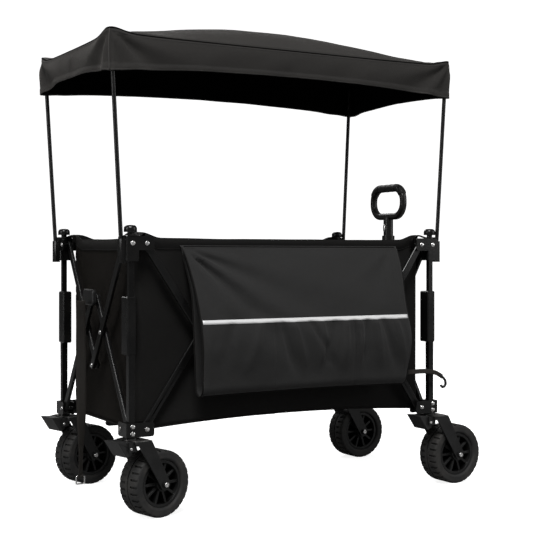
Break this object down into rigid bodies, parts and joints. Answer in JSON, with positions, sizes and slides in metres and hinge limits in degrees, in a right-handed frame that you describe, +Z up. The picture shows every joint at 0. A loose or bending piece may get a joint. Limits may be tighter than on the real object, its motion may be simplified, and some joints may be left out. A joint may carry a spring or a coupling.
{
  "type": "folding pull wagon with canopy",
  "caption": "Folding pull wagon: open cloth basket on a scissor frame, swivel casters with brakes, telescoping pull handle, cloth canopy on poles and a side sling.",
  "frame": {"origin": "on the ground at the centre of the posts", "axes": "+X towards the handle end, +Y towards the wagon's left side, +Z up"},
  "size_m": [1.0428, 0.5776, 1.171],
  "materials": {
    "tyre": "matte moulded rubber",
    "rim": "moulded black plastic",
    "fork": "satin moulded plastic",
    "pedal": "satin moulded plastic",
    "pole": "gloss black powder coat",
    "post": "satin black powder coat",
    "bar": "satin black powder coat",
    "hub": "satin moulded plastic",
    "handle_tube": "satin black powder coat",
    "grip": "soft-touch black",
    "canopy_cloth": "plain woven polyester",
    "basket_cloth": "plain woven polyester",
    "sling_cloth": "plain woven polyester",
    "webbing": "ribbed webbing"
  },
  "bodies": {
    "rear_right_lower_post": {"rear_right_lower_post": "post", "basket": "basket_cloth", "side_sling": "sling_cloth"},
    "right_side_rear_top_bar": {"right_side_rear_top_bar": "bar"},
    "right_side_rear_foot_bar": {"right_side_rear_foot_bar": "bar"},
    "right_side_front_top_bar": {"right_side_front_top_bar": "bar"},
    "right_side_front_foot_bar": {"right_side_front_foot_bar": "bar"},
    "right_side_lower_hub": {"right_side_lower_hub": "hub"},
    "right_side_upper_hub": {"right_side_upper_hub": "hub"},
    "front_right_lower_post": {"front_right_lower_post": "post"},
    "rear_right_upper_post": {"rear_right_upper_post": "post"},
    "front_right_upper_post": {"front_right_upper_post": "post"},
    "rear_end_right_top_bar": {"rear_end_right_top_bar": "bar"},
    "rear_end_right_foot_bar": {"rear_end_right_foot_bar": "bar"},
    "rear_end_left_top_bar": {"rear_end_left_top_bar": "bar"},
    "rear_end_left_foot_bar": {"rear_end_left_foot_bar": "bar"},
    "rear_end_upper_hub": {"rear_end_upper_hub": "hub", "rear_strap": "webbing"},
    "rear_left_lower_post": {"rear_left_lower_post": "post"},
    "rear_left_upper_post": {"rear_left_upper_post": "post"},
    "front_end_right_top_bar": {"front_end_right_top_bar": "bar"},
    "front_end_right_foot_bar": {"front_end_right_foot_bar": "bar"},
    "front_end_left_top_bar": {"front_end_left_top_bar": "bar"},
    "front_end_left_foot_bar": {"front_end_left_foot_bar": "bar"},
    "handle_bracket": {"handle_bracket": "hub"},
    "front_left_lower_post": {"front_left_lower_post": "post"},
    "front_left_upper_post": {"front_left_upper_post": "post"},
    "left_side_rear_top_bar": {"left_side_rear_top_bar": "bar"},
    "left_side_rear_foot_bar": {"left_side_rear_foot_bar": "bar"},
    "left_side_front_top_bar": {"left_side_front_top_bar": "bar"},
    "left_side_front_foot_bar": {"left_side_front_foot_bar": "bar"},
    "left_side_upper_hub": {"left_side_upper_hub": "hub"},
    "left_side_lower_hub": {"left_side_lower_hub": "hub"},
    "floor_hub": {"floor_hub": "hub"},
    "floor_rear_strut": {"floor_rear_strut": "bar"},
    "floor_front_strut": {"floor_front_strut": "bar"},
    "rear_right_caster_fork": {"rear_right_caster_fork": "fork"},
    "rear_right_wheel": {"rear_right_wheel_rim": "rim", "rear_right_tyre": "tyre"},
    "rear_right_brake_pedal": {"rear_right_brake_pedal": "pedal"},
    "rear_left_caster_fork": {"rear_left_caster_fork": "fork"},
    "rear_left_wheel": {"rear_left_wheel_rim": "rim", "rear_left_tyre": "tyre"},
    "rear_left_brake_pedal": {"rear_left_brake_pedal": "pedal"},
    "front_right_caster_fork": {"front_right_caster_fork": "fork"},
    "front_right_wheel": {"front_right_wheel_rim": "rim", "front_right_tyre": "tyre"},
    "front_right_brake_pedal": {"front_right_brake_pedal": "pedal"},
    "front_left_caster_fork": {"front_left_caster_fork": "fork"},
    "front_left_wheel": {"front_left_wheel_rim": "rim", "front_left_tyre": "tyre"},
    "front_left_brake_pedal": {"front_left_brake_pedal": "pedal"},
    "handle_outer_tube": {"handle_outer_tube": "handle_tube"},
    "handle_slider": {"handle_inner_tube": "handle_tube", "handle_grip": "grip"},
    "rear_right_canopy_pole": {"rear_right_canopy_pole": "pole"},
    "rear_left_canopy_pole": {"rear_left_canopy_pole": "pole"},
    "front_right_canopy_pole": {"front_right_canopy_pole": "pole"},
    "front_left_canopy_pole": {"front_left_canopy_pole": "pole"},
    "canopy_cover": {"canopy_cover": "canopy_cloth"}
  },
  "joints": [
    {"name": "fold", "type": "hinge", "parent": "rear_right_lower_post", "child": "right_side_rear_foot_bar", "pos_m": [-0.384, -0.219, 0.204], "axis": [0, -1, 0], "range_deg": [0, 22], "deforming": ["basket", "side_sling", "canopy_cover"]},
    {"name": "right_side_rear_top_bar_crossing", "type": "hinge", "parent": "right_side_rear_foot_bar", "child": "right_side_rear_top_bar", "pos_m": [-0.24212, -0.229, 0.41435], "axis": [0, 1, 0], "range_deg": [0, 44]},
    {"name": "right_side_lower_hub_pivot", "type": "hinge", "parent": "right_side_rear_top_bar", "child": "right_side_lower_hub", "pos_m": [-0.16663, -0.229, 0.30243], "axis": [0, 1, 0], "range_deg": [-22, 0]},
    {"name": "right_side_front_top_bar_hub_pivot", "type": "hinge", "parent": "right_side_lower_hub", "child": "right_side_front_top_bar", "pos_m": [0.16663, -0.229, 0.30243], "axis": [0, 1, 0], "range_deg": [-22, 0]},
    {"name": "right_side_front_foot_bar_crossing", "type": "hinge", "parent": "right_side_front_top_bar", "child": "right_side_front_foot_bar", "pos_m": [0.24212, -0.229, 0.41435], "axis": [0, 1, 0], "range_deg": [0, 44]},
    {"name": "front_right_lower_post_side_pivot", "type": "hinge", "parent": "right_side_front_foot_bar", "child": "front_right_lower_post", "pos_m": [0.384, -0.219, 0.204], "axis": [0, 1, 0], "range_deg": [-22, 0]},
    {"name": "rear_right_upper_post_side_pivot", "type": "hinge", "parent": "right_side_rear_top_bar", "child": "rear_right_upper_post", "pos_m": [-0.384, -0.229, 0.6247], "axis": [0, 1, 0], "range_deg": [-22, 0]},
    {"name": "front_right_upper_post_side_pivot", "type": "hinge", "parent": "right_side_front_top_bar", "child": "front_right_upper_post", "pos_m": [0.384, -0.229, 0.6247], "axis": [0, 1, 0], "range_deg": [0, 22]},
    {"name": "right_side_upper_hub_pivot", "type": "hinge", "parent": "right_side_rear_foot_bar", "child": "right_side_upper_hub", "pos_m": [-0.16663, -0.219, 0.52627], "axis": [0, 1, 0], "range_deg": [0, 22]},
    {"name": "rear_end_right_foot_bar_bracket_pivot", "type": "hinge", "parent": "rear_right_lower_post", "child": "rear_end_right_foot_bar", "pos_m": [-0.414, -0.198, 0.204], "axis": [1, 0, 0], "range_deg": [0, 22]},
    {"name": "rear_end_right_top_bar_crossing", "type": "hinge", "parent": "rear_end_right_foot_bar", "child": "rear_end_right_top_bar", "pos_m": [-0.424, -0.05612, 0.41435], "axis": [1, 0, 0], "range_deg": [-44, 0]},
    {"name": "rear_end_upper_hub_pivot", "type": "hinge", "parent": "rear_end_right_foot_bar", "child": "rear_end_upper_hub", "pos_m": [-0.414, 0, 0.49755], "axis": [1, 0, 0], "range_deg": [-22, 0]},
    {"name": "rear_end_left_foot_bar_hub_pivot", "type": "hinge", "parent": "rear_end_upper_hub", "child": "rear_end_left_foot_bar", "pos_m": [-0.424, 0, 0.49755], "axis": [1, 0, 0], "range_deg": [-22, 0]},
    {"name": "rear_end_left_top_bar_crossing", "type": "hinge", "parent": "rear_end_left_foot_bar", "child": "rear_end_left_top_bar", "pos_m": [-0.414, 0.05612, 0.41435], "axis": [1, 0, 0], "range_deg": [0, 44]},
    {"name": "rear_left_lower_post_end_pivot", "type": "hinge", "parent": "rear_end_left_foot_bar", "child": "rear_left_lower_post", "pos_m": [-0.424, 0.198, 0.204], "axis": [1, 0, 0], "range_deg": [0, 22]},
    {"name": "rear_left_upper_post_end_pivot", "type": "hinge", "parent": "rear_end_left_top_bar", "child": "rear_left_upper_post", "pos_m": [-0.414, 0.198, 0.6247], "axis": [1, 0, 0], "range_deg": [-22, 0]},
    {"name": "front_end_right_foot_bar_bracket_pivot", "type": "hinge", "parent": "front_right_lower_post", "child": "front_end_right_foot_bar", "pos_m": [0.414, -0.198, 0.204], "axis": [1, 0, 0], "range_deg": [0, 22]},
    {"name": "front_end_right_top_bar_crossing", "type": "hinge", "parent": "front_end_right_foot_bar", "child": "front_end_right_top_bar", "pos_m": [0.424, -0.05612, 0.41435], "axis": [1, 0, 0], "range_deg": [-44, 0]},
    {"name": "front_end_left_foot_bar_centre_pivot", "type": "hinge", "parent": "front_end_right_foot_bar", "child": "front_end_left_foot_bar", "pos_m": [0.424, 0, 0.49755], "axis": [1, 0, 0], "range_deg": [-44, 0]},
    {"name": "handle_bracket_pivot", "type": "hinge", "parent": "front_end_right_top_bar", "child": "handle_bracket", "pos_m": [0.424, 0, 0.33115], "axis": [1, 0, 0], "range_deg": [0, 22]},
    {"name": "front_end_left_top_bar_crossing", "type": "hinge", "parent": "front_end_left_foot_bar", "child": "front_end_left_top_bar", "pos_m": [0.414, 0.05612, 0.41435], "axis": [1, 0, 0], "range_deg": [0, 44]},
    {"name": "front_left_lower_post_end_pivot", "type": "hinge", "parent": "front_end_left_foot_bar", "child": "front_left_lower_post", "pos_m": [0.424, 0.198, 0.204], "axis": [1, 0, 0], "range_deg": [0, 22]},
    {"name": "front_left_upper_post_end_pivot", "type": "hinge", "parent": "front_end_left_top_bar", "child": "front_left_upper_post", "pos_m": [0.414, 0.198, 0.6247], "axis": [1, 0, 0], "range_deg": [-22, 0]},
    {"name": "left_side_rear_foot_bar_bracket_pivot", "type": "hinge", "parent": "rear_left_lower_post", "child": "left_side_rear_foot_bar", "pos_m": [-0.384, 0.219, 0.204], "axis": [0, 1, 0], "range_deg": [-22, 0]},
    {"name": "left_side_rear_top_bar_crossing", "type": "hinge", "parent": "left_side_rear_foot_bar", "child": "left_side_rear_top_bar", "pos_m": [-0.24212, 0.229, 0.41435], "axis": [0, 1, 0], "range_deg": [0, 44]},
    {"name": "left_side_front_foot_bar_bracket_pivot", "type": "hinge", "parent": "front_left_lower_post", "child": "left_side_front_foot_bar", "pos_m": [0.384, 0.219, 0.204], "axis": [0, 1, 0], "range_deg": [0, 22]},
    {"name": "left_side_front_top_bar_crossing", "type": "hinge", "parent": "left_side_front_foot_bar", "child": "left_side_front_top_bar", "pos_m": [0.24212, 0.229, 0.41435], "axis": [0, 1, 0], "range_deg": [-44, 0]},
    {"name": "left_side_upper_hub_pivot", "type": "hinge", "parent": "left_side_rear_foot_bar", "child": "left_side_upper_hub", "pos_m": [-0.16663, 0.219, 0.52627], "axis": [0, 1, 0], "range_deg": [0, 22]},
    {"name": "left_side_lower_hub_pivot", "type": "hinge", "parent": "left_side_rear_top_bar", "child": "left_side_lower_hub", "pos_m": [-0.16663, 0.229, 0.30243], "axis": [0, 1, 0], "range_deg": [-22, 0]},
    {"name": "floor_hub_lift", "type": "slide", "parent": "rear_right_lower_post", "child": "floor_hub", "axis": [-0.3546, -0.323, 0.8774], "range_m": [0, 0.38506]},
    {"name": "floor_rear_strut_pivot", "type": "hinge", "parent": "floor_hub", "child": "floor_rear_strut", "pos_m": [-0.064, 0, 0.188], "axis": [0, 1, 0], "range_deg": [-55.02, 0]},
    {"name": "floor_front_strut_pivot", "type": "hinge", "parent": "floor_hub", "child": "floor_front_strut", "pos_m": [0.064, 0, 0.188], "axis": [0, 1, 0], "range_deg": [0, 55.02]},
    {"name": "rear_right_swivel", "type": "hinge", "parent": "rear_right_lower_post", "child": "rear_right_caster_fork", "pos_m": [-0.419, -0.224, 0.185], "axis": [0, 0, 1], "continuous": true},
    {"name": "rear_right_wheel_spin", "type": "hinge", "parent": "rear_right_caster_fork", "child": "rear_right_wheel", "pos_m": [-0.35302, -0.20755, 0.077], "axis": [-0.2419, 0.9703, 0], "continuous": true},
    {"name": "rear_right_brake", "type": "hinge", "parent": "rear_right_caster_fork", "child": "rear_right_brake_pedal", "pos_m": [-0.43841, -0.22884, 0.166], "axis": [0.2419, -0.9703, 0], "range_deg": [0, 14]},
    {"name": "rear_left_swivel", "type": "hinge", "parent": "rear_left_lower_post", "child": "rear_left_caster_fork", "pos_m": [-0.419, 0.224, 0.185], "axis": [0, 0, 1], "continuous": true},
    {"name": "rear_left_wheel_spin", "type": "hinge", "parent": "rear_left_caster_fork", "child": "rear_left_wheel", "pos_m": [-0.35302, 0.24045, 0.077], "axis": [-0.2419, 0.9703, 0], "continuous": true},
    {"name": "rear_left_brake", "type": "hinge", "parent": "rear_left_caster_fork", "child": "rear_left_brake_pedal", "pos_m": [-0.43841, 0.21916, 0.166], "axis": [0.2419, -0.9703, 0], "range_deg": [0, 14]},
    {"name": "front_right_swivel", "type": "hinge", "parent": "front_right_lower_post", "child": "front_right_caster_fork", "pos_m": [0.419, -0.224, 0.185], "axis": [0, 0, 1], "continuous": true},
    {"name": "front_right_wheel_spin", "type": "hinge", "parent": "front_right_caster_fork", "child": "front_right_wheel", "pos_m": [0.48696, -0.22163, 0.077], "axis": [-0.0349, 0.9994, 0], "continuous": true},
    {"name": "front_right_brake", "type": "hinge", "parent": "front_right_caster_fork", "child": "front_right_brake_pedal", "pos_m": [0.39901, -0.2247, 0.166], "axis": [0.0349, -0.9994, 0], "range_deg": [0, 14]},
    {"name": "front_left_swivel", "type": "hinge", "parent": "front_left_lower_post", "child": "front_left_caster_fork", "pos_m": [0.419, 0.224, 0.185], "axis": [0, 0, 1], "continuous": true},
    {"name": "front_left_wheel_spin", "type": "hinge", "parent": "front_left_caster_fork", "child": "front_left_wheel", "pos_m": [0.48696, 0.22637, 0.077], "axis": [-0.0349, 0.9994, 0], "continuous": true},
    {"name": "front_left_brake", "type": "hinge", "parent": "front_left_caster_fork", "child": "front_left_brake_pedal", "pos_m": [0.39901, 0.2233, 0.166], "axis": [0.0349, -0.9994, 0], "range_deg": [0, 14]},
    {"name": "handle_pivot", "type": "hinge", "parent": "handle_bracket", "child": "handle_outer_tube", "pos_m": [0.446, 0, 0.33115], "axis": [0, 1, 0], "range_deg": [0, 75]},
    {"name": "handle_telescope", "type": "slide", "parent": "handle_outer_tube", "child": "handle_slider", "axis": [0, 0, 1], "range_m": [0, 0.28]},
    {"name": "canopy_lift", "type": "slide", "parent": "rear_right_upper_post", "child": "rear_right_canopy_pole", "axis": [-0.0567, -0.0117, 0.9983], "range_m": [0, 0.04]},
    {"name": "rear_left_pole_lift", "type": "slide", "parent": "rear_left_upper_post", "child": "rear_left_canopy_pole", "axis": [-0.0567, 0.0117, 0.9983], "range_m": [0, 0.04]},
    {"name": "front_right_pole_lift", "type": "slide", "parent": "front_right_upper_post", "child": "front_right_canopy_pole", "axis": [0.0567, -0.0117, 0.9983], "range_m": [0, 0.04]},
    {"name": "front_left_pole_lift", "type": "slide", "parent": "front_left_upper_post", "child": "front_left_canopy_pole", "axis": [0.0567, 0.0117, 0.9983], "range_m": [0, 0.04]},
    {"name": "canopy_cover_shift", "type": "slide", "parent": "rear_right_canopy_pole", "child": "canopy_cover", "axis": [-1, 0, 0], "range_m": [0, 0.13655]}
  ],
  "couplings": [
    {"joint": "right_side_rear_top_bar_crossing", "follows": "fold", "ratio": 2},
    {"joint": "right_side_lower_hub_pivot", "follows": "fold", "ratio": -1},
    {"joint": "right_side_front_top_bar_hub_pivot", "follows": "fold", "ratio": -1},
    {"joint": "right_side_front_foot_bar_crossing", "follows": "fold", "ratio": 2},
    {"joint": "front_right_lower_post_side_pivot", "follows": "fold", "ratio": -1},
    {"joint": "rear_right_upper_post_side_pivot", "follows": "fold", "ratio": -1},
    {"joint": "front_right_upper_post_side_pivot", "follows": "fold", "ratio": 1},
    {"joint": "right_side_upper_hub_pivot", "follows": "fold", "ratio": 1},
    {"joint": "rear_end_right_foot_bar_bracket_pivot", "follows": "fold", "ratio": 1},
    {"joint": "rear_end_right_top_bar_crossing", "follows": "fold", "ratio": -2},
    {"joint": "rear_end_upper_hub_pivot", "follows": "fold", "ratio": -1},
    {"joint": "rear_end_left_foot_bar_hub_pivot", "follows": "fold", "ratio": -1},
    {"joint": "rear_end_left_top_bar_crossing", "follows": "fold", "ratio": 2},
    {"joint": "rear_left_lower_post_end_pivot", "follows": "fold", "ratio": 1},
    {"joint": "rear_left_upper_post_end_pivot", "follows": "fold", "ratio": -1},
    {"joint": "front_end_right_foot_bar_bracket_pivot", "follows": "fold", "ratio": 1},
    {"joint": "front_end_right_top_bar_crossing", "follows": "fold", "ratio": -2},
    {"joint": "front_end_left_foot_bar_centre_pivot", "follows": "fold", "ratio": -2},
    {"joint": "handle_bracket_pivot", "follows": "fold", "ratio": 1},
    {"joint": "front_end_left_top_bar_crossing", "follows": "fold", "ratio": 2},
    {"joint": "front_left_lower_post_end_pivot", "follows": "fold", "ratio": 1},
    {"joint": "front_left_upper_post_end_pivot", "follows": "fold", "ratio": -1},
    {"joint": "left_side_rear_foot_bar_bracket_pivot", "follows": "fold", "ratio": -1},
    {"joint": "left_side_rear_top_bar_crossing", "follows": "fold", "ratio": 2},
    {"joint": "left_side_front_foot_bar_bracket_pivot", "follows": "fold", "ratio": 1},
    {"joint": "left_side_front_top_bar_crossing", "follows": "fold", "ratio": -2},
    {"joint": "left_side_upper_hub_pivot", "follows": "fold", "ratio": 1},
    {"joint": "left_side_lower_hub_pivot", "follows": "fold", "ratio": -1},
    {"joint": "floor_hub_lift", "follows": "fold", "m_per_rad": 1.0028},
    {"joint": "floor_rear_strut_pivot", "follows": "fold", "ratio": -2.501},
    {"joint": "floor_front_strut_pivot", "follows": "fold", "ratio": 2.501},
    {"joint": "rear_left_pole_lift", "follows": "canopy_lift", "ratio": 1},
    {"joint": "front_right_pole_lift", "follows": "canopy_lift", "ratio": 1},
    {"joint": "front_left_pole_lift", "follows": "canopy_lift", "ratio": 1},
    {"joint": "canopy_cover_shift", "follows": "fold", "m_per_rad": 0.35563}
  ]
}
